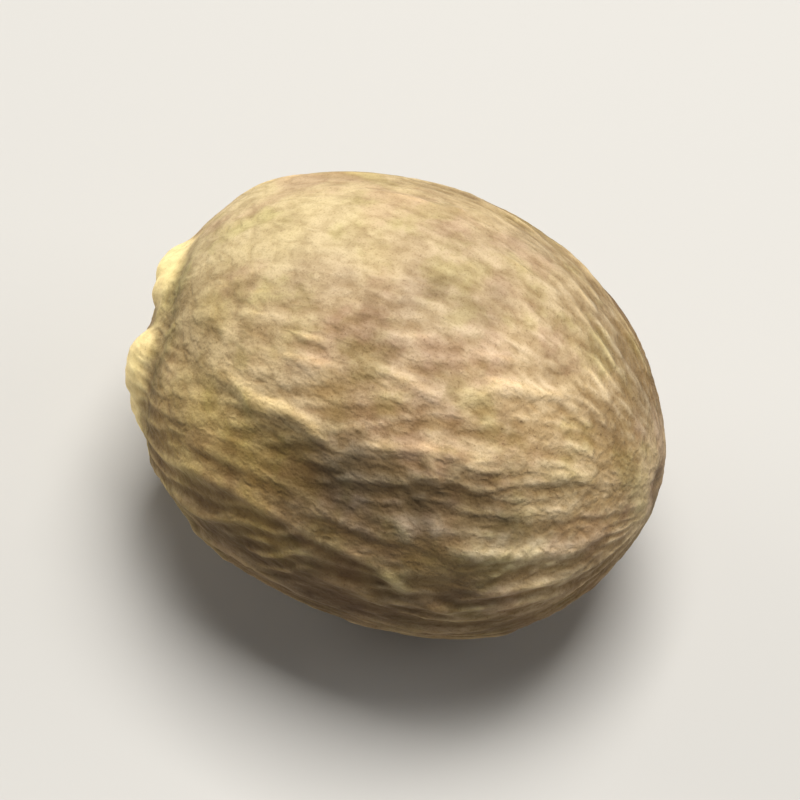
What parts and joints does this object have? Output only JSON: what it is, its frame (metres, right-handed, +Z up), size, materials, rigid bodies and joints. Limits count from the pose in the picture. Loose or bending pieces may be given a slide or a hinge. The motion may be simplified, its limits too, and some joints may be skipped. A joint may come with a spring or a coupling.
{
  "type": "whole nutmeg",
  "caption": "Egg-shaped dried nutmeg kernel lying on its side, with lengthwise wrinkles, a pale ring-shaped scar at one end and a small pit at the other.",
  "frame": {"origin": "middle of the bounding box's underside, on the small flat spot the seed rests on", "axes": "+X along the seed from the pale scar (hilum) to the pitted far end (chalaza), +Z up, -Y the side with the long shallow groove (raphe)"},
  "size_m": [0.0288, 0.0236, 0.0221],
  "materials": {
    "nutmeg_skin": "matt wrinkled seed coat, cream to tan on the ridges and brown in the furrows"
  },
  "bodies": {
    "root": {"nutmeg": "nutmeg_skin"}
  },
  "joints": []
}
